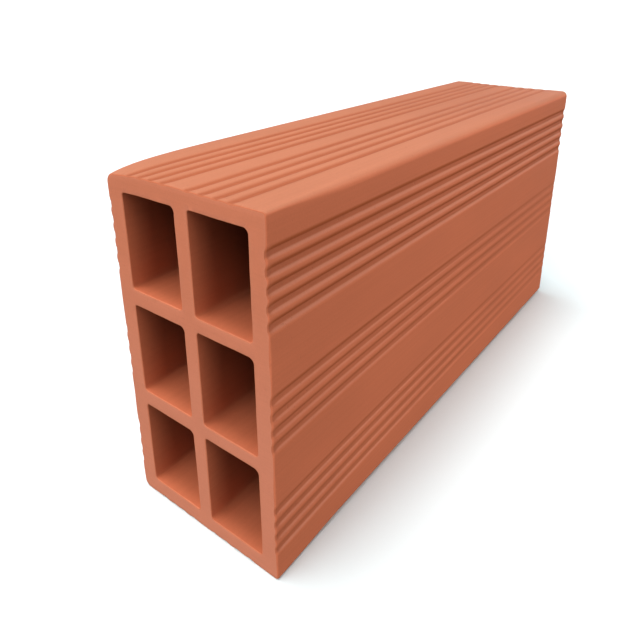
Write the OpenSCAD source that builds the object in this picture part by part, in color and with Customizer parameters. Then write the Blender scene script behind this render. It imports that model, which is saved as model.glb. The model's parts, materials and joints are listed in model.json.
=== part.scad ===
// Hollow clay brick with six through cells and ribbed faces, laid on edge.
// The clay is pushed through a die and cut off with a wire, so every feature runs the whole length:
// the piece is one section, drawn in the YZ plane and extruded along X.
// Frame: X along the length, Y across the thickness, Z up. The origin is the middle of the lower bed face.

/* [Block] */
// Length along the extrusion, between the two cut ends
brick_l = 300; // [150:1:500]
// Thickness between the front and back faces
brick_w = 80; // [70:1:200]
// Height between the lower and upper bed faces
brick_h = 150; // [125:1:300]
// Radius of the four long outer edges
long_edge_r = 3.5; // [0.5:0.5:6]

/* [Cells] */
// Number of cells across the thickness
cell_columns = 2; // [1:1:4]
// Number of cells up the height
cell_rows = 3; // [1:1:6]
// Wall behind the front face
front_wall = 7.5; // [5:0.5:12]
// Wall behind the back face
back_wall = 8.5; // [5:0.5:12]
// Wall under the upper bed face
upper_wall = 8; // [5:0.5:12]
// Wall over the lower bed face
lower_wall = 8; // [5:0.5:12]
// Upright web between two columns of cells
upright_web = 6.5; // [4:0.5:12]
// Level web between two rows of cells
level_web = 7; // [4:0.5:12]
// Radius in the corners of a cell
cell_corner_r = 2.5; // [0.5:0.5:5]

/* [Side grooves] */
// Width of one groove at the face
side_groove_w = 4.4; // [3:0.1:6]
// Spacing of the grooves within a band
side_groove_pitch = 6.2; // [6.1:0.1:8]
// Grooves in the upper band
upper_band_count = 5; // [1:1:5]
// Depth of the grooves in the upper band
upper_band_depth = 1.2; // [0.3:0.1:1.5]
// Upper bed face down to the middle of the upper band
upper_band_drop = 27; // [22:0.5:30]
// Grooves in the middle band, which is centred on the block's mid-height
middle_band_count = 4; // [1:1:4]
// Grooves in the lower band
lower_band_count = 4; // [1:1:4]
// Lower bed face up to the middle of the lower band
lower_band_rise = 28; // [19:0.5:30]
// Depth of the grooves in the middle and lower bands
lower_bands_depth = 0.9; // [0.3:0.1:1.5]

/* [Bed grooves] */
// Width of one groove at the bed face
bed_groove_w = 4; // [3:0.1:6]
// Depth of one groove
bed_groove_depth = 0.7; // [0.3:0.1:1.5]
// Spacing of the grooves within a band
bed_groove_pitch = 6.6; // [6.1:0.1:6.8]
// Grooves in each of the two bands
bed_band_count = 4; // [1:1:4]
// Middle plane of the block out to the middle of each band
bed_band_offset = 16.5; // [13.5:0.5:18]

/* [Hidden] */
$fn = 64;
CLAY = [0.72, 0.40, 0.29];

// Side of a cell across the thickness and up the height, from what the walls and webs leave
cell_w = (brick_w - front_wall - back_wall - (cell_columns - 1) * upright_web) / cell_columns;
cell_h = (brick_h - lower_wall - upper_wall - (cell_rows - 1) * level_web) / cell_rows;
// A very small cell limits its own corner radius
cell_r = min(cell_corner_r, 0.45 * min(cell_w, cell_h));

// Bands on each side face: [height of the band's middle, number of grooves, depth]
side_bands = [
    [brick_h - upper_band_drop, upper_band_count, upper_band_depth],
    [brick_h / 2, middle_band_count, lower_bands_depth],
    [lower_band_rise, lower_band_count, lower_bands_depth],
];

// Radius of the arc that is w wide and d deep where it cuts a straight line
function arc_radius(w, d) = (w * w / 4 + d * d) / (2 * d);

// Rectangle with one corner at the origin and round corners of radius r
module round_rectangle(w, h, r) {
    translate([r, 0]) square([w - 2 * r, h]);
    translate([0, r]) square([w, h - 2 * r]);
    for (y = [r, w - r], z = [r, h - r]) translate([y, z]) circle(r);
}

// One groove's round cutter, for a face that lies along the first axis with its clay below
module groove_cutter(w, d) {
    r = arc_radius(w, d);
    translate([0, r - d]) circle(r);
}

// A band of evenly spaced groove cutters, centred on the origin
module groove_band(count, pitch, w, d) {
    for (i = [0 : count - 1]) translate([(i - (count - 1) / 2) * pitch, 0]) groove_cutter(w, d);
}

// The cells, column by column and row by row
module cells() {
    for (column = [0 : cell_columns - 1], row = [0 : cell_rows - 1])
        translate([
            -brick_w / 2 + front_wall + column * (cell_w + upright_web),
            lower_wall + row * (cell_h + level_web)
        ]) round_rectangle(cell_w, cell_h, cell_r);
}

// The three bands of one side face, cut from the face at +Y
module side_grooves() {
    for (band = side_bands)
        translate([brick_w / 2, band[0]]) rotate(-90)
            groove_band(band[1], side_groove_pitch, side_groove_w, band[2]);
}

// The two bands of one bed face, cut from a face at height zero with its clay below
module bed_grooves() {
    for (side = [-1, 1]) translate([side * bed_band_offset, 0])
        groove_band(bed_band_count, bed_groove_pitch, bed_groove_w, bed_groove_depth);
}

// The whole section, first axis across the thickness and second axis up
module section() {
    difference() {
        translate([-brick_w / 2, 0]) round_rectangle(brick_w, brick_h, long_edge_r);
        cells();
        side_grooves();
        mirror([1, 0]) side_grooves();
        translate([0, brick_h]) bed_grooves();
        mirror([0, 1]) bed_grooves();
    }
}

module brick() {
    color(CLAY) rotate([90, 0, 90]) translate([0, 0, -brick_l / 2])
        linear_extrude(brick_l) section();
}

brick();
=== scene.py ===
# %% [markdown]
# # A hollow clay brick
# The brick is stiff clay pushed through a steel die, cut off with a wire and fired. The die leaves six cells
# and bands of grooves that run the whole length, and the wire leaves two flat, slightly torn ends. The packed
# CAD solid gives the exact sizes. It could be shown as it is, with a better material, but its edges would
# look machined. So this script models the same block again as fired clay really looks: the grooves' lips and
# the cut edges softened, the bands drifting off their lines, and one corner that sagged before firing.

# %% Load the frame
import json
import math

import bpy
import numpy as np
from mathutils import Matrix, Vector, geometry


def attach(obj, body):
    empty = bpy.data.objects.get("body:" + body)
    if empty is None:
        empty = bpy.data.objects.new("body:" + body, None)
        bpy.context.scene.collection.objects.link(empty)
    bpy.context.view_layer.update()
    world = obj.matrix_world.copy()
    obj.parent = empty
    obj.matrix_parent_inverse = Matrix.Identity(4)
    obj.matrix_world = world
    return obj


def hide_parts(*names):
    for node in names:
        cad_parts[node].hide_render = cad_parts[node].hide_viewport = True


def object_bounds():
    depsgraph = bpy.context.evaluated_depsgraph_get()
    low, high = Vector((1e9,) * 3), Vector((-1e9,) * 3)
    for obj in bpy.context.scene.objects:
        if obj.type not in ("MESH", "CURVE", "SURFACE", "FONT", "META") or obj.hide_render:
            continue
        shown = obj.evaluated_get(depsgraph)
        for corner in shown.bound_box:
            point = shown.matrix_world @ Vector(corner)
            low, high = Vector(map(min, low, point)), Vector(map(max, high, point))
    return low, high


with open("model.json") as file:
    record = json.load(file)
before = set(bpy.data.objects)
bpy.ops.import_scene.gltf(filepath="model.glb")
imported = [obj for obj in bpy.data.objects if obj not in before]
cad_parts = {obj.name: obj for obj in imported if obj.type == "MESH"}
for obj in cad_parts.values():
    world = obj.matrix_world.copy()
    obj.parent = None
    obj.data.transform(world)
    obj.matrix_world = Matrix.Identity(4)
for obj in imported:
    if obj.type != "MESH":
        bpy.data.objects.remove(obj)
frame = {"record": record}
CAD_LOW, CAD_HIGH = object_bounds()
MM = 0.001
LENGTH, THICK, HEIGHT = [side / MM for side in (CAD_HIGH - CAD_LOW)]
print(f"block {LENGTH:.1f} x {THICK:.1f} x {HEIGHT:.1f} mm")

# %% [markdown]
# ## Camera
# The camera comes first, because it decides which detail is worth modelling. It stands near one cut end, a
# little above the block, and looks down along it. It could be aimed with a Track To constraint at an empty,
# but a heading and a tilt in degrees are easier to read and to correct. The lens is a mild wide angle, so the
# far end shrinks strongly. The shift slides the view without tilting the camera further, which keeps the
# uprights of the block from leaning together too much.

# %% Camera
EYE = Vector((-0.2709, -0.1522, 0.2086))
HEADING = math.radians(37.32)
LOOK_DOWN = math.radians(20.36)
LENS_MM = 33.44
SHIFT = -0.160


def make_camera():
    data = bpy.data.cameras.new("camera")
    data.lens = LENS_MM
    data.sensor_width = 36.0
    data.shift_y = SHIFT
    data.clip_start = 0.01
    camera = bpy.data.objects.new("camera", data)
    bpy.context.scene.collection.objects.link(camera)
    ahead = Vector(
        (
            math.cos(HEADING) * math.cos(LOOK_DOWN),
            math.sin(HEADING) * math.cos(LOOK_DOWN),
            -math.sin(LOOK_DOWN),
        )
    )
    camera.location = EYE
    camera.rotation_euler = ahead.to_track_quat("-Z", "Y").to_euler()
    bpy.context.scene.camera = camera
    return camera


camera = make_camera()
print("camera at", [round(v, 3) for v in camera.location], "metres")

# %% [markdown]
# ## Smooth wandering
# Nothing about wet clay is perfectly even: an edge is rounded more here and less there. A Displace modifier
# with a cloud texture could do this, but it moves whole surfaces. A few sine waves that run in random
# directions give a number instead, to use wherever something should vary. They have no grid and no seams,
# and numpy works them out for every point at once. The seed fixes the waves, so each run is the same.


# %% Wander
def wander(points, wavelength, seed, waves=7):
    """A smooth value from about -1 to 1 at each point; wavelength is one size, or one for each axis."""
    random = np.random.default_rng(seed)
    scaled = points / np.asarray(wavelength, float)
    total = np.zeros(points.shape[:-1])
    for _ in range(waves):
        direction = random.normal(size=points.shape[-1])
        direction *= 2 * math.pi * random.uniform(0.6, 1.4) / np.linalg.norm(direction)
        total += np.sin(scaled @ direction + random.uniform(0, 2 * math.pi))
    return total / math.sqrt(waves)


def ease(value, start, end):
    """0 before start, 1 after end, and smooth in between; start may be the larger one."""
    share = np.clip((value - start) / (end - start), 0, 1)
    return share * share * (3 - 2 * share)


print("wander at two places 10 mm apart", wander(np.array([[0.0], [10.0]]), 25.0, 1).round(2))

# %% [markdown]
# ## The grooves
# The grooves key the plaster and the mortar to the brick. They run in bands: five grooves and two lots of
# four up each side, and two lots of four on the top and bottom beds. A groove is not a round trough. The die
# has a row of blunt teeth, so the clay between two of them swells into a bead, and each bead falls in a
# curve to a narrow flat floor. The floor leans to one side of the groove, because the clay drags. The die
# is also a little uneven, so each band has its own spacing. A band is written as its middle, how many
# grooves it has, how far apart they are and how deep, all in millimetres.

# %% Bands of grooves
SIDE_GROOVE = {"reach": 3.1, "flat": (0.40, 0.20)}
BED_GROOVE = {"reach": 3.3, "flat": (0.15, 0.15)}
SIDE_BANDS = [(HEIGHT - 26.8, 5, 6.2, 1.2), (HEIGHT / 2, 4, 6.2, 0.9), (28.0, 4, 6.2, 0.9)]
BED_BANDS = [(-15.0, 4, 6.75, 0.7), (17.0, 4, 6.1, 0.7)]


def groove_centres(bands):
    """(place along the face, depth) of every groove of some bands."""
    found = []
    for middle, count, pitch, depth in bands:
        for i in range(count):
            found.append((middle + (i - (count - 1) / 2) * pitch, depth))
    return found


def groove_depth(along, bands, groove):
    """How deep the skin lies below the flat face at each place along it."""
    deepest = np.zeros_like(along)
    for middle, depth in groove_centres(bands):
        from_crest = np.maximum(1 - np.abs(along - middle) / groove["reach"], 0)
        flat = np.where(along < middle, *groove["flat"])
        bead = np.minimum(from_crest / (1 - flat), 1) ** 2
        deepest = np.maximum(deepest, depth * bead)
    return deepest


def places_along(low, high, bands, groove, fine=0.34, coarse=4.0, margin=0.3):
    """Places to put points along a face: close together over the grooves and far apart on the flats."""
    places = [low]
    centres = np.array([c for c, _ in groove_centres(bands)])
    reach = groove["reach"] + margin
    while places[-1] < high:
        here = places[-1]
        step = fine if np.min(np.abs(centres - here - fine)) < reach else coarse
        ahead = centres[centres > here] - reach
        if step == coarse and len(ahead) and here + coarse > ahead.min() > here:
            step = max(ahead.min() - here, fine)
        places.append(min(here + step, high))
    return np.array(places)


print(len(groove_centres(SIDE_BANDS)), "grooves up a side and", len(groove_centres(BED_BANDS)), "on a bed")

# %% [markdown]
# ## The skin's outline
# Cut the brick across and its skin is one closed loop: four faces with their grooves and four round corners.
# It could be drawn as a curve and given a bevel, but a loop of points keeps each groove where it is wanted.
# The points lie close together over the grooves and far apart on the flats, where they would be wasted. No
# two places along the block are quite alike. At the near end the front edges are still sharp and the back
# edges are rounder, and both settle within a few centimetres. The bed grooves and the two lower side bands
# fade towards the far end, where the stiff clay dragged, and the wire leaves every groove half shut at a cut.


# %% Corners and faces of the skin
EDGE_R = 3.5


def corner(centre, start_deg, radius, steps=7):
    """Points of one round corner, a quarter turn on from start_deg, without its two ends."""
    turn = np.radians(start_deg + 90 * (np.arange(steps) + 0.5) / steps)
    return np.stack([centre[0] + radius * np.cos(turn), centre[1] + radius * np.sin(turn)], 1)


def skin_outline(front_r, back_r):
    """The outer loop of the flat section, across and up, and how each point moves for its groove."""
    across = places_along(-THICK / 2 + EDGE_R, THICK / 2 - EDGE_R, BED_BANDS, BED_GROOVE)
    up = places_along(EDGE_R, HEIGHT - EDGE_R, SIDE_BANDS, SIDE_GROOVE)
    bed = groove_depth(across, BED_BANDS, BED_GROOVE)
    side = groove_depth(up, SIDE_BANDS, SIDE_GROOVE)
    front, back, top = -THICK / 2, THICK / 2, HEIGHT
    runs = [
        (np.stack([across, 0 * across], 1), bed, (0, 1)),
        (corner((back - back_r, back_r), -90, back_r), 0, (0, 0)),
        (np.stack([0 * up + back, up], 1), side, (-1, 0)),
        (corner((back - back_r, top - back_r), 0, back_r), 0, (0, 0)),
        (np.stack([across, 0 * across + top], 1)[::-1], bed[::-1], (0, -1)),
        (corner((front + front_r, top - front_r), 90, front_r), 0, (0, 0)),
        (np.stack([0 * up + front, up], 1)[::-1], side[::-1], (1, 0)),
        (corner((front + front_r, front_r), 180, front_r), 0, (0, 0)),
    ]
    flat = np.concatenate([points for points, _, _ in runs])
    depth = np.concatenate([np.zeros(len(points)) + d for points, d, _ in runs])
    inward = np.concatenate([np.zeros_like(points) + way for points, _, way in runs])
    return flat, inward * depth[:, None]


print(len(skin_outline(EDGE_R, EDGE_R)[0]), "points round the skin")

# %% The skin at any place along the block
FRONT_EDGE_R = (1.4, 3.5)
BACK_EDGE_R = (3.2, 1.8)
EDGES_SETTLE = 45.0
LOWER_BANDS_LOSE = 0.64
LOWER_BANDS_FADE = (-130.0, 140.0)
LOWER_BANDS_BELOW = (105.0, 90.0)
BEDS_LOSE = 0.3
BEDS_FADE = (-60.0, 140.0)
SHUT_AT_CUT = 0.5
OPEN_AFTER = 3.5


def side_wear(x, z):
    """What is left of the side grooves: the two lower bands fade towards the far end."""
    return 1 - LOWER_BANDS_LOSE * ease(x, *LOWER_BANDS_FADE) * ease(z, *LOWER_BANDS_BELOW)


def skin_at(x):
    """The outer loop at one place along the block."""
    settled = ease(x + LENGTH / 2, 0.0, EDGES_SETTLE)
    front_r, back_r = [near + (far - near) * settled for near, far in (FRONT_EDGE_R, BACK_EDGE_R)]
    flat, groove = skin_outline(front_r, back_r)
    open_share = 1 - SHUT_AT_CUT + SHUT_AT_CUT * ease(LENGTH / 2 - abs(x), 0.0, OPEN_AFTER)
    bed_wear = 1 - BEDS_LOSE * ease(x, *BEDS_FADE)
    worn = np.stack([side_wear(x, flat[:, 1]), np.full(len(flat), bed_wear)], 1)
    return flat + groove * open_share * worn


print("wear of the lowest groove, near and far:", [round(side_wear(x, 20.0), 2) for x in (-140, 140)])

# %% [markdown]
# ## The cells' outlines
# Each cell is the shape of one core in the die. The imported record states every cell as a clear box, a little
# inside its walls, so the walls are read back from there and never typed twice. A core wears unevenly, so
# each of its four corners has a radius of its own. The front row's cores stand a little taller and
# narrower than the back row's.


# %% Outlines of the cells
CELL_R = {"lower back": 1.6, "upper back": 1.4, "upper front": 2.3, "lower front": 1.5}
BOX_INSET = 0.8
FRONT_CORE = np.array([0.35, -0.45])


def cell_outline(low, high):
    """A cell's loop, anticlockwise: four straight walls and four round corners."""
    (y0, z0), (y1, z1) = low, high
    spots = [(y1, z0, -90), (y1, z1, 0), (y0, z1, 90), (y0, z0, 180)]
    turns = []
    for (y, z, start_deg), radius in zip(spots, CELL_R.values()):
        centre = (y - radius if y == y1 else y + radius, z - radius if z == z1 else z + radius)
        turns.append(corner(centre, start_deg, radius, 5))
    loop = []
    for before, turn in zip(turns[-1:] + turns[:-1], turns):
        loop.append(np.linspace(before[-1], turn[0], 11)[1:-1])
        loop.append(turn)
    return np.concatenate(loop)


CELL_LOOPS = []
for opening in frame["record"]["physics"]["openings"]:
    box_low, box_high = [np.array(corner_m[1:]) / MM for corner_m in opening["box_m"]]
    squeeze = FRONT_CORE if box_high[0] < 0 else np.zeros(2)
    CELL_LOOPS.append(cell_outline(box_low - BOX_INSET + squeeze, box_high + BOX_INSET - squeeze))
print(len(CELL_LOOPS), "cells, each", np.round(CELL_LOOPS[0].max(0) - CELL_LOOPS[0].min(0), 2), "mm")

# %% [markdown]
# ## From section to block
# The die pushes one section out along a line, which is a loft: copies of a loop are placed along the length
# and neighbours are joined with quads. Extruding a curve would do the same, but here the loop changes a
# little on its way, and the cut edges need rounding. A Bevel modifier stumbles over so many short edges.
# So near each end the loops themselves move a little way into the clay, along a quarter circle. The wire
# rounds an edge more in some places than in others, and the radius wanders along the edge.


# %% Loft one loop
EDGE_STEPS = 4
EDGE_WANDER = 0.22
EDGE_WAVE = 11.0


def into_clay(loop, clay_inside):
    """For each point of an anticlockwise loop, the direction that leads into the clay."""
    tangent = np.roll(loop, -1, 0) - np.roll(loop, 1, 0)
    tangent /= np.linalg.norm(tangent, axis=1)[:, None]
    inward = np.stack([-tangent[:, 1], tangent[:, 0]], 1)
    return inward if clay_inside else -inward


def loft(loop_at, clay_inside, stations, edge_r, seed):
    """Grid of points, one row for each place along the block: (rows, points of the loop, 3)."""
    rows = []
    angles = np.radians(np.linspace(0, 90, EDGE_STEPS + 1))
    for end in (-1, 1):
        loop = loop_at(end * LENGTH / 2)
        inward = into_clay(loop, clay_inside)
        around = np.concatenate([np.full((len(loop), 1), end * LENGTH / 2), loop], 1)
        radius = edge_r * (1 + EDGE_WANDER * wander(around, EDGE_WAVE, seed + end))
        end_rows = []
        for angle in angles:
            inset = radius * (1 - math.sin(angle))
            x = end * (LENGTH / 2 - radius * (1 - math.cos(angle)))
            end_rows.append(np.concatenate([x[:, None], loop + inward * inset[:, None]], 1))
        rows.append(end_rows)
    middle = []
    for x in stations:
        loop = loop_at(x)
        middle.append(np.concatenate([np.full((len(loop), 1), x), loop], 1))
    return np.array(rows[0] + middle + rows[1][::-1])


print("a loft with one middle row has", len(loft(skin_at, True, [0.0], 0.6, 11)), "rows")

# %% [markdown]
# ## Sags and drifts
# Wet clay gives way where it is held and where the wire leaves it. A lattice could bend the block, but a
# lattice has few handles. Here every point goes through one function, so the skin, the cells and the ends
# move together. The upper back corner of the near end sags by almost three millimetres, within the last two
# centimetres of the length. The upper front edge sits a fraction of a millimetre low. The two lower
# side bands drift downwards by up to three and a half millimetres towards the near end. Every move leads into
# the block or along its faces, so the block stays inside its nominal size.


# %% Move the clay
BANDS_DROP = 3.4
BANDS_DROP_FADES = 70.0
BANDS_LIFT = 0.25
BANDS_SLOPE = 0.003
SIDE_SKIN = (34.0, THICK / 2 - 2.5)
CLEAR_OF_BOTTOM = (0.0, 20.0)
CLEAR_OF_TOP = (132.0, 66.0)
SAG_FROM = HEIGHT - 12.0
CORNER_SAG = 2.9
CORNER_SAG_FADES = 9.0
CORNER_SAG_START = 2.0
CORNER_SAG_WIDTH = 38.0
FRONT_SAG = 0.7
FRONT_SAG_ACROSS = (THICK / 2, -10.0)


def slump(points):
    """Where each point of the straight block comes to lie in the fired one, in millimetres."""
    x, y, z = points[..., 0], points[..., 1], points[..., 2]
    moved = points.copy()
    from_near = x + LENGTH / 2

    skin_share = ease(np.abs(y), *SIDE_SKIN) * ease(z, *CLEAR_OF_BOTTOM) * ease(z, *CLEAR_OF_TOP)
    drift = BANDS_LIFT + BANDS_SLOPE * x - BANDS_DROP * np.exp(-from_near / BANDS_DROP_FADES)
    moved[..., 2] += drift * skin_share

    across = np.clip((y - CORNER_SAG_START) / CORNER_SAG_WIDTH, 0, 1) ** 2.5
    corner_share = np.exp(-from_near / CORNER_SAG_FADES) * across
    moved[..., 2] -= CORNER_SAG * corner_share * ease(z, SAG_FROM, HEIGHT - 2.0)

    front_share = ease(y, *FRONT_SAG_ACROSS)
    moved[..., 2] -= FRONT_SAG * front_share * ease(z, SAG_FROM, HEIGHT)
    return moved


TOP_BACK_CORNER = np.array([-LENGTH / 2, THICK / 2, HEIGHT])
print("the top back corner moves by", (slump(TOP_BACK_CORNER) - TOP_BACK_CORNER).round(2), "mm")

# %% [markdown]
# ## Filling the cut ends
# Each end is one flat face with six openings. Blender could fill it as one big face with holes, but such a
# face can't be rippled and shades badly. A Delaunay triangulation fills it instead: the skin's loop and the
# cells' loops are kept as edges, loose points are sprinkled over the clay between them, and triangles that
# fall into an opening or outside the skin are dropped. The loose points carry the shallow ripple of the
# wire, and they keep clear of the loops, where a small steep triangle would show as a speck.


# %% Fill a cut end
LOOSE_SPACING = 2.2
LOOSE_SHAKE = 0.35 * LOOSE_SPACING
LOOSE_CLEARANCE = 1.1


def inside(loop, points):
    """Which points lie inside a closed loop, by counting crossings."""
    a, b = loop, np.roll(loop, -1, 0)
    y, z = points[:, :1], points[:, 1:]
    crosses = (a[:, 1] > z) != (b[:, 1] > z)
    slope = (b[:, 0] - a[:, 0]) / np.where(b[:, 1] == a[:, 1], 1e-9, b[:, 1] - a[:, 1])
    return (crosses & (y < a[:, 0] + (z - a[:, 1]) * slope)).sum(1) % 2 == 1


def distance_to(loop, points):
    """Distance from each point to the nearest point of a loop."""
    return np.sqrt(((points[:, None] - loop[None]) ** 2).sum(-1)).min(1)


def fill_end(skin, cells):
    """Loose points and triangles of a cut end; triangles count the loops' points first, then the loose."""
    y = np.arange(-THICK / 2, THICK / 2, LOOSE_SPACING)
    z = np.arange(0, HEIGHT, LOOSE_SPACING)
    grid = np.stack(np.meshgrid(y, z), -1).reshape(-1, 2)
    grid[:, 0] += LOOSE_SHAKE * wander(grid, 3.1, 5)
    keep = inside(skin, grid) & (distance_to(skin, grid) > LOOSE_CLEARANCE)
    for cell in cells:
        keep &= ~inside(cell, grid) & (distance_to(cell, grid) > LOOSE_CLEARANCE)
    loose = grid[keep]
    fixed = np.concatenate([skin, *cells])
    edges, start = [], 0
    for loop in (skin, *cells):
        count = len(loop)
        edges += [(start + i, start + (i + 1) % count) for i in range(count)]
        start += count
    points = np.concatenate([fixed, loose])
    found = geometry.delaunay_2d_cdt([Vector(p) for p in points], edges, [], 0, 1e-7)
    source = [first[0] for first in found[3]]
    triangles = np.array([[source[i] for i in face] for face in found[2]])
    middle = points[triangles].mean(1)
    real = inside(skin, middle)
    for cell in cells:
        real &= ~inside(cell, middle)
    return loose, triangles[real]


trial = fill_end(skin_at(-LENGTH / 2), CELL_LOOPS)
print("an end takes", len(trial[0]), "loose points and", len(trial[1]), "triangles")

# %% [markdown]
# ## Build the block
# Now the parts come together as one mesh: a loft for the skin, a loft for each cell, and two filled ends
# that share the lofts' own points, so nothing is left open. The skin gets a row every few millimetres, for
# its slow drifts. The cells are straight and dark, and get a third of that. Three materials go on the one
# mesh: the skin, the cell walls and the cut ends, because die, core and wire each leave another surface.

# %% Lofts of the skin and the cells
SKIN_EDGE_R = 0.6
CELL_EDGE_R = 0.4
END_ROWS = np.array([1.4, 2.6, 4.0])
FIRST_ROW = 6.0
ROW_SPACING = 4.8


def make_lofts():
    """The skin's grid of points, then one grid for each cell."""
    even = np.arange(-LENGTH / 2 + FIRST_ROW, LENGTH / 2 - FIRST_ROW + 0.1, ROW_SPACING)
    stations = np.concatenate([END_ROWS - LENGTH / 2, even, LENGTH / 2 - END_ROWS[::-1]])
    grids = [loft(skin_at, True, stations, SKIN_EDGE_R, 11)]
    for i, outline in enumerate(CELL_LOOPS):
        grids.append(loft(lambda x: outline, False, even[::3], CELL_EDGE_R, 31 + i))
    return grids


GRIDS = make_lofts()
print("rows and points in a row, skin and first cell:", [grid.shape[:2] for grid in GRIDS[:2]])

# %% Join neighbouring rows
SKIN, CELL, CUT = 0, 1, 2


def quads_of(rows, count, first, flip):
    """Quads between neighbouring rows of a loft whose points start at index first."""
    r, c = np.meshgrid(np.arange(rows - 1), np.arange(count), indexing="ij")
    a = first + r * count + c
    b = first + r * count + (c + 1) % count
    order = [a, b, b + count, a + count]
    return np.stack(order[::-1] if flip else order, -1).reshape(-1, 4)


def join_rows():
    """The quads of every loft, the material of each, and the index of each loft's first point."""
    faces, kinds, firsts = [], [], []
    total = 0
    for i, grid in enumerate(GRIDS):
        rows, count = grid.shape[:2]
        quads = quads_of(rows, count, total, flip=i > 0)
        faces += quads.tolist()
        kinds += [SKIN if i == 0 else CELL] * len(quads)
        firsts.append(total)
        total += rows * count
    return faces, kinds, firsts


FACES, KINDS, FIRSTS = join_rows()
print(len(FACES), "quads")


# %% Close the cut ends
RIPPLE = 0.03
RIPPLE_WAVES = (14.0, 5.0)


def close_end(end, total):
    """Points and triangles of one cut end, -1 or 1; its own points are numbered from total on."""
    row = 0 if end < 0 else -1
    loops = [grid[row][:, 1:] for grid in GRIDS]
    loose, triangles = fill_end(loops[0], loops[1:])
    index = []
    for first, grid in zip(FIRSTS, GRIDS):
        rows, count = grid.shape[:2]
        index.append(first + (row % rows) * count + np.arange(count))
    index.append(total + np.arange(len(loose)))
    triangles = np.concatenate(index)[triangles]
    ripple = np.maximum(RIPPLE + RIPPLE * wander(loose, RIPPLE_WAVES, 3), 0)
    x = end * (LENGTH / 2 - ripple)
    return np.concatenate([x[:, None], loose], 1), triangles[:, ::-1] if end < 0 else triangles


point_lists = [grid.reshape(-1, 3) for grid in GRIDS]
for end in (-1, 1):
    loose, triangles = close_end(end, sum(len(points) for points in point_lists))
    point_lists.append(loose)
    FACES += triangles.tolist()
    KINDS += [CUT] * len(triangles)
POINTS = np.concatenate(point_lists)
print(len(POINTS), "points,", len(FACES), "faces,", sum(len(face) - 2 for face in FACES), "triangles")

# %% [markdown]
# ## Numbers for the finish to read
# The finish paints pale dust and highlight on the beads, and painted shade into the grooves and onto the
# skin's cut edges, and the cut ends' rims crumble paler. A material can guess at such places from the shape,
# with a Pointiness or an Ambient Occlusion node, but that is slow and depends on the mesh. This script knows
# where they are, so it stores three numbers on every point: how deep it lies in a groove of the sides, how
# deep in a groove of the beds, and whether it is on a cut edge.


# %% Numbers for the finish to read
def store(mesh, name, values):
    mesh.attributes.new(name, "FLOAT", "POINT").data.foreach_set("value", values.astype(np.float32))


def in_grooves(axis):
    """How deep each point lies in a groove, for the grooves that are sunk along one axis of the section."""
    skin = GRIDS[0]
    nominal = np.abs(skin_outline(EDGE_R, EDGE_R)[1][:, axis])
    worn = side_wear(skin[..., 0], skin[..., 2]) if axis == 0 else np.ones(skin.shape[:2])
    depth = np.zeros(len(POINTS))
    depth[: worn.size] = (nominal * worn).ravel()
    return depth


def edge_of_cut():
    """1 on the rounded rows beside a cut end and 0 everywhere else."""
    near = []
    for grid in GRIDS:
        rows, count = grid.shape[:2]
        on_edge = np.zeros(rows)
        on_edge[:EDGE_STEPS] = 1
        on_edge[-EDGE_STEPS:] = 1
        near.append(np.repeat(on_edge, count))
    near = np.concatenate(near)
    return np.concatenate([near, np.zeros(len(POINTS) - len(near))])


print(int(edge_of_cut().sum()), "points on cut edges")
print("deepest grooves, side and bed:", [in_grooves(axis).max().round(2) for axis in (0, 1)], "mm")

# %% [markdown]
# ## Make the mesh
# The points and faces go into a Blender mesh in one call, in metres. All faces are smooth shaded, because
# the rounded edges are real geometry.


# %% Make the mesh
def make_block():
    mesh = bpy.data.meshes.new("brick_clay")
    mesh.from_pydata((slump(POINTS) * MM).tolist(), [], FACES)
    mesh.polygons.foreach_set("material_index", KINDS)
    mesh.polygons.foreach_set("use_smooth", [True] * len(FACES))
    store(mesh, "side_groove", in_grooves(0))
    store(mesh, "bed_groove", in_grooves(1))
    store(mesh, "cut_edge", edge_of_cut())
    mesh.update()
    block = bpy.data.objects.new("brick_clay", mesh)
    bpy.context.scene.collection.objects.link(block)
    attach(block, "root")
    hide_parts("brick")
    return block


block = make_block()
print(block.name, "measures", [round(side / MM, 2) for side in block.dimensions], "mm")

# %% [markdown]
# ## Maths on sockets
# A shader is a graph of nodes, but most of the graph is plain arithmetic, and written node by node it is
# hard to read. This small class wraps a socket, and Python's own operators then add the Math nodes, so that
# a recipe reads like a formula. Two numbers never need a node, because Python works them out. Colours stay
# out of Math nodes, which would turn them grey, and go through blend().


# %% Sockets that do arithmetic
class Wire:
    def __init__(self, tree, socket):
        self.tree = tree
        self.socket = socket

    def math(self, operation, *values):
        return node(self.tree, "ShaderNodeMath", {"operation": operation}, dict(enumerate(values)))

    def __add__(self, other):
        return self.math("ADD", self, other)

    def __sub__(self, other):
        return self.math("SUBTRACT", self, other)

    def __rsub__(self, other):
        return self.math("SUBTRACT", other, self)

    def __mul__(self, other):
        return self.math("MULTIPLY", self, other)

    def __truediv__(self, other):
        return self.math("DIVIDE", self, other)

    def __abs__(self):
        return self.math("ABSOLUTE", self)

    __radd__ = __add__
    __rmul__ = __mul__

    def fraction(self):
        """What is left of the value without its whole part."""
        return self.math("FRACT", self)

    def between(self, low, high):
        """0 below low, 1 above high and smooth between them; low may be the larger one."""
        span = {0: self, 1: low, 2: high, 3: 0.0, 4: 1.0}
        return node(self.tree, "ShaderNodeMapRange", {"interpolation_type": "SMOOTHSTEP"}, span)


def node(tree, kind, settings=None, values=None, output=0):
    """Add one node, set it up, fill its sockets with numbers or wires, and return one of its outputs."""
    made = tree.nodes.new(kind)
    for name, value in (settings or {}).items():
        setattr(made, name, value)
    for name, value in (values or {}).items():
        if isinstance(value, Wire):
            tree.links.new(value.socket, made.inputs[name])
        else:
            made.inputs[name].default_value = value
    return Wire(tree, made.outputs[output])


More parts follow.
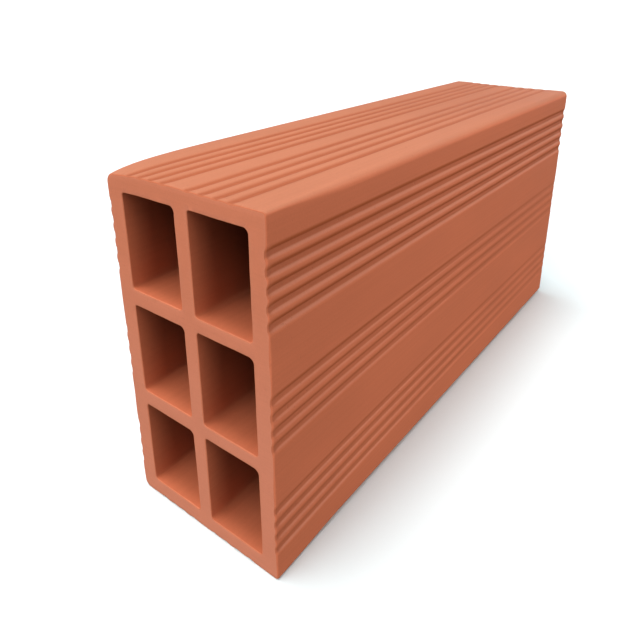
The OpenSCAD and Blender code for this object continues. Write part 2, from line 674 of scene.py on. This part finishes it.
def blend(tree, share, first, second, how="MIX"):
    """A colour that goes from the first to the second as share goes from 0 to 1."""
    settings = {"data_type": "RGBA", "blend_type": how}
    return node(tree, "ShaderNodeMix", settings, {0: share, 6: first, 7: second}, output=2)


print("a wire answers to + - * /, abs(), fraction() and between()")

# %% [markdown]
# ## Patterns in the clay
# Clay is mottled over a hand's width, streaked where the die dragged sand along it, and grainy up close. All
# three come from the same noise, laid out in millimetres on the block itself, so nothing has to be unwrapped.
# One size makes a pattern that is the same in all directions. Three sizes stretch it: a streak is long along
# the block and narrow across it.


# %% Patterns
def noise(tree, size, detail=2.0, shift=0.0):
    """Noise from 0 to 1 with features about size millimetres across, one number or one for each axis."""
    at = node(tree, "ShaderNodeTexCoord", output=3)
    scale = Vector(1 / (side * MM) for side in (size if isinstance(size, tuple) else (size,) * 3))
    stretch = {0: at, 1: scale, 2: (shift, shift, shift)}
    place = node(tree, "ShaderNodeVectorMath", {"operation": "MULTIPLY_ADD"}, stretch)
    return node(tree, "ShaderNodeTexNoise", {}, {"Vector": place, "Scale": 1.0, "Detail": detail})


def parts_of(tree, vector):
    """The three numbers of a vector."""
    split = node(tree, "ShaderNodeSeparateXYZ", {}, {0: vector}).socket.node
    return [Wire(tree, socket) for socket in split.outputs]


def stored(tree, name):
    """A number that was stored on the points of the mesh."""
    return node(tree, "ShaderNodeAttribute", {"attribute_name": name}, output=2)


print("numbers to read:", [found.name for found in block.data.attributes if found.data_type == "FLOAT"])

# %% [markdown]
# ## One sort of clay, three surfaces
# The three materials start and end alike, so that is written once. Fired clay is matt, with hardly any
# gloss. The shade multiplies the colour, and the relief goes in as bump, because sand grains of a tenth of a
# millimetre are far too small to model.


# %% Start and finish a clay
def new_clay(name, gloss):
    material = bpy.data.materials.new(name)
    material.use_nodes = True
    block.data.materials.append(material)
    shader = material.node_tree.nodes["Principled BSDF"]
    shader.inputs["Specular IOR Level"].default_value = gloss
    return material.node_tree, shader


def finish_clay(tree, shader, colour, shade, rough, height, relief):
    """Feed the shader its shaded colour, roughness and relief in millimetres, and count the nodes."""
    shaded = blend(tree, 1.0, colour, shade, "MULTIPLY")
    tree.links.new(shaded.socket, shader.inputs["Base Color"])
    tree.links.new(rough.socket, shader.inputs["Roughness"])
    bump = {"Height": height, "Strength": 0.7, "Distance": relief * MM}
    tree.links.new(node(tree, "ShaderNodeBump", {}, bump).socket, shader.inputs["Normal"])
    return len(tree.nodes)


print(block.name, "has", len(block.data.materials), "materials before the first recipe")

# %% [markdown]
# ## The skin
# The die polishes the skin, so it is the smoothest clay on the block. It fires to a strong brown orange. The
# slopes of the beads that face up get a pale dust and a painted highlight, and the slopes that face down get
# painted shade. The beds take a paler clay, with painted shade in their grooves, and the side grooves and
# the skin's cut edges are painted darker too. Towards the far end the sides are painted lighter and the beds
# darker and redder, as painted light along the block. Painting this by hand would tie it to one mesh. Here
# the way a place faces and the stored groove depths say where each clay shows, and blend() lays one over the
# other. Fine streaks run along the block, and a grain of sand and a few pits break the surface up.

# %% Skin
SIDE_CLAY = (0.652, 0.180, 0.084, 1)
SHADED_SLOPE_CLAY = (0.56, 0.135, 0.045, 1)
DUST_AND_HIGHLIGHT_CLAY = (0.775, 0.285, 0.168, 1)
BED_CLAY = (0.569, 0.206, 0.112, 1)
SHADED_BED_CLAY = (0.450, 0.124, 0.055, 1)


def make_skin():
    tree, shader = new_clay("fired clay skin", gloss=0.15)
    x = parts_of(tree, node(tree, "ShaderNodeTexCoord", output=3))[0]
    facing = parts_of(tree, node(tree, "ShaderNodeNewGeometry", output=1))[2]
    side_groove, bed_groove = stored(tree, "side_groove"), stored(tree, "bed_groove")
    # painted shade: the slopes that face down are darker
    slope_shade = facing.between(0.0, -0.55)
    # pale dust and painted highlight on the slopes of the side beads that face up
    dust_and_highlight = facing.between(0.30, 0.75) * side_groove.between(0.0, 0.06)
    bed = facing.between(0.20, 0.95) * side_groove.between(0.03, 0.0)
    colour = blend(tree, slope_shade, SIDE_CLAY, SHADED_SLOPE_CLAY)
    colour = blend(tree, dust_and_highlight, colour, DUST_AND_HIGHLIGHT_CLAY)
    colour = blend(tree, bed, colour, BED_CLAY)
    far = x.between(-0.06, 0.14)
    # painted shade: the beds turn darker and redder towards the far end
    colour = blend(tree, bed * far * 0.35, colour, SHADED_BED_CLAY)
    # painted shade in the bed grooves, a little weaker at the far end
    bed_groove_shade = bed_groove.between(0.0, 0.60) * (1 - far * 0.15)
    colour = blend(tree, bed * bed_groove_shade, colour, SHADED_BED_CLAY)
    # painted light along the block: the sides lighter and the beds darker towards the far end
    light_along_block = x.between(-0.15, -0.02) * 0.10 * (1 - bed) - x.between(-0.12, 0.12) * 0.10 * bed
    mottle = noise(tree, (60, 22, 22), detail=3.0) - 0.5
    streak = noise(tree, (120, 1.1, 1.1), detail=3.0, shift=7.0) - 0.5
    grain = noise(tree, 0.8, detail=2.0, shift=3.0) - 0.5
    pit = noise(tree, 1.6, detail=1.0, shift=11.0).between(0.70, 0.78)
    # painted shade in the side grooves, darker where they are deeper
    side_groove_shade = side_groove * 0.17
    # painted shade on the skin's rounded cut edges
    worn = stored(tree, "cut_edge") * 0.09
    shade = 0.95 - worn + light_along_block + mottle * 0.16 + streak * 0.10 + grain * 0.10 - pit * 0.06 - side_groove_shade
    rough = 0.76 + mottle * 0.2 + grain * 0.1
    height = grain * 0.35 + streak * 0.5 - pit * 0.8
    return finish_clay(tree, shader, colour, shade, rough, height, relief=0.10)


print("skin recipe:", make_skin(), "nodes")

# %% [markdown]
# ## Inside the cells
# The cores of the die leave smooth walls. Little light gets far into a cell, so its walls are painted much
# darker and redder than at its mouths, with painted shade under the ceilings first. A gradient along the
# block alone would look like a curtain. So how far a place lies inside is added to how high it sits in its
# cell, and the sum decides the painted shade. The middle of a cell is painted less dark than the part behind
# its mouths. The floors of the back row get a little painted light.

# %% Cells
CELL_CLAY = (0.565, 0.153, 0.072, 1)
DEEP_SHADE_CLAY = (0.047, 0.009, 0.003, 1)
HEART_SHADE_CLAY = (0.22, 0.060, 0.024, 1)
MOUTH_CLAY = (0.58, 0.184, 0.097, 1)
CELL_PITCH = 0.047
LOWEST_FLOOR = 0.007
SHADE_REACH = 0.042


def make_cells():
    tree, shader = new_clay("fired clay cell", gloss=0.0)
    x, y, z = parts_of(tree, node(tree, "ShaderNodeTexCoord", output=3))
    facing = parts_of(tree, node(tree, "ShaderNodeNewGeometry", output=1))[2]
    inward = (LENGTH / 2 * MM - abs(x)) / SHADE_REACH
    up_in_cell = ((z - LOWEST_FLOOR) / CELL_PITCH).fraction()
    # painted shade: darker the further into a cell and the higher up in it
    depth_shade = (inward + (up_in_cell - 0.35) * 0.6).between(0.0, 1.0)
    # painted light on the floors of the back row
    back_floor_light = facing.between(0.5, 0.9) * y.between(-0.004, 0.004)
    mottle = noise(tree, (70, 24, 24), detail=3.0, shift=5.0) - 0.5
    streak = noise(tree, (140, 1.8, 1.8), detail=3.0, shift=9.0) - 0.5
    grain = noise(tree, 1.0, detail=2.0, shift=4.0) - 0.5
    colour = blend(tree, depth_shade, CELL_CLAY, DEEP_SHADE_CLAY)
    # painted shade in the middle of each cell, less dark than behind the mouths
    colour = blend(tree, abs(x).between(0.090, 0.050), colour, HEART_SHADE_CLAY)
    colour = blend(tree, stored(tree, "cut_edge"), colour, MOUTH_CLAY)
    shade = 1.0 + back_floor_light * 0.15 + mottle * 0.16 + streak * 0.12 + grain * 0.08
    rough = 0.80 + mottle * 0.2
    height = grain * 0.3 + streak * 0.6
    return finish_clay(tree, shader, colour, shade, rough, height, relief=0.10)


print("cell recipe:", make_cells(), "nodes")

# %% [markdown]
# ## The cut ends
# The cutting wire tears the clay very slightly. It leaves faint lines across the end, a duller and pinker
# face, and small crumbs that dust its edges paler. The lower half of each end is a paler clay.
# The lines are a noise stretched across the end and squeezed to under a millimetre upwards, and they show
# mostly in the bump, as they do on the real thing.

# %% Cut ends
CUT_CLAY = (0.590, 0.190, 0.101, 1)
LOW_CUT_CLAY = (0.600, 0.210, 0.123, 1)
RIM_CLAY = (0.600, 0.205, 0.118, 1)


def make_cuts():
    tree, shader = new_clay("fired clay cut", gloss=0.12)
    z = parts_of(tree, node(tree, "ShaderNodeTexCoord", output=3))[2]
    mottle = noise(tree, 16, detail=3.0, shift=6.0) - 0.5
    drag = noise(tree, (30, 24, 0.9), detail=3.0, shift=8.0) - 0.5
    grain = noise(tree, 0.7, detail=2.0, shift=2.0) - 0.5
    pit = noise(tree, 1.8, detail=1.0, shift=12.0).between(0.70, 0.78)
    rim = stored(tree, "cut_edge")
    colour = blend(tree, z.between(0.140, 0.050), CUT_CLAY, LOW_CUT_CLAY)
    colour = blend(tree, rim * 0.5, colour, RIM_CLAY)
    shade = 1.0 + mottle * 0.10 + drag * 0.08 + grain * 0.10 - pit * 0.05
    rough = 0.82 + grain * 0.2
    height = grain * 0.5 + drag * 0.5 - pit * 0.8
    return finish_clay(tree, shader, colour, shade, rough, height, relief=0.12)


print("cut recipe:", make_cuts(), "nodes")
print([material.name for material in block.data.materials])

# %% [markdown]
# ## Stage
# The brick stands on a wide sheet of pale paper, which is part of the stage and not of the object. The sheet
# is hidden from the rays that bounce between surfaces. A real sheet this white would light the undersides
# and the lower half of the block far too much in so open a studio, and the world below gives a weaker,
# steadier share of that light. The paper is tinted a touch against the warm light that the clay throws on it.

# %% Stage
FLOOR_COLOUR = (0.87, 0.965, 0.98, 1)
FLOOR_HALF = 20.0


def make_stage():
    mesh = bpy.data.meshes.new("floor")
    corners = [(x * FLOOR_HALF, y * FLOOR_HALF, 0) for x, y in ((-1, -1), (1, -1), (1, 1), (-1, 1))]
    mesh.from_pydata(corners, [], [(0, 1, 2, 3)])
    floor = bpy.data.objects.new("floor", mesh)
    bpy.context.scene.collection.objects.link(floor)
    material = bpy.data.materials.new("floor paper")
    material.use_nodes = True
    shader = material.node_tree.nodes["Principled BSDF"]
    shader.inputs["Base Color"].default_value = FLOOR_COLOUR
    shader.inputs["Roughness"].default_value = 1.0
    shader.inputs["Specular IOR Level"].default_value = 0.0
    mesh.materials.append(material)
    floor.visible_diffuse = False
    floor.visible_glossy = False
    return floor


floor = make_stage()
print("floor", [round(side, 1) for side in floor.dimensions], "metres")

# %% [markdown]
# ## Light
# A bright studio surrounds the brick with large soft panels. Area lights could stand for them, but their
# light falls off with distance, so the near end would be burnt and the far end dull. A sun that is many
# degrees wide is a panel at a great distance: even over the whole block, and still soft. Each panel is
# written as its direction round the block and up, its width in degrees and its strength. The low panels
# light the sides and ends, the ceiling panels model the grooves, and the narrow overhead softbox makes the
# tight shadow that ties the brick to the floor.

# %% Light
PANELS = {
    "near panel": (180, 10, 45, 0.80),
    "front panel": (270, 10, 45, 0.62),
    "back ceiling": (120, 58, 45, 0.18),
    "near ceiling": (172, 58, 45, 0.30),
    "front ceiling": (240, 58, 45, 0.03),
    "overhead softbox": (100, 82, 24, 0.54),
    "far panel": (0, 4, 45, 0.62),
    "back panel": (90, 10, 45, 0.20),
}


def make_panels():
    for name, (round_deg, up_deg, spread_deg, strength) in PANELS.items():
        data = bpy.data.lights.new(name, "SUN")
        data.energy = strength * math.pi
        data.angle = math.radians(spread_deg)
        panel = bpy.data.objects.new(name, data)
        bpy.context.scene.collection.objects.link(panel)
        turn, up = math.radians(round_deg), math.radians(up_deg)
        towards = Vector((math.cos(turn) * math.cos(up), math.sin(turn) * math.cos(up), math.sin(up)))
        panel.rotation_euler = towards.to_track_quat("Z", "Y").to_euler()


make_panels()
print(len(PANELS), "panels")

# %% [markdown]
# ## Backdrop
# The world does two jobs. Seen straight by the camera it is the white backdrop. For the object it is only a
# weak glow, twice as strong from below, where the floor would throw light back. The Light Path node tells
# the two apart, so a brilliant white backdrop doesn't flood the grooves with light.

# %% Backdrop
BACKDROP = 1.4
GLOW = 0.04


def make_backdrop():
    world = bpy.data.worlds.new("studio")
    world.use_nodes = True
    tree = world.node_tree
    height = parts_of(tree, node(tree, "ShaderNodeTexCoord"))[2]
    glow = height.between(0.01, -0.01) * GLOW + GLOW
    seen = node(tree, "ShaderNodeLightPath")
    strength = seen * BACKDROP + (1 - seen) * glow
    background = tree.nodes["Background"]
    tree.links.new(strength.socket, background.inputs["Strength"])
    background.inputs["Color"].default_value = (1, 1, 1, 1)
    bpy.context.scene.world = world
    return world


world = make_backdrop()
print(world.name, "has", len(world.node_tree.nodes), "nodes")

# %% [markdown]
# ## Colours and bounces
# The Standard view shows each colour as it is worked out. The usual filmic view would grey the white floor
# and dull the orange. Two bounces of light are enough to soften the mouths of the cells, and more would
# fill their depths with a glow that would fight the painted shade there.

# %% Colours and bounces
scene = bpy.context.scene
scene.view_settings.view_transform = "Standard"
scene.cycles.diffuse_bounces = 2
print("view", scene.view_settings.view_transform, "with", scene.cycles.diffuse_bounces, "bounces")
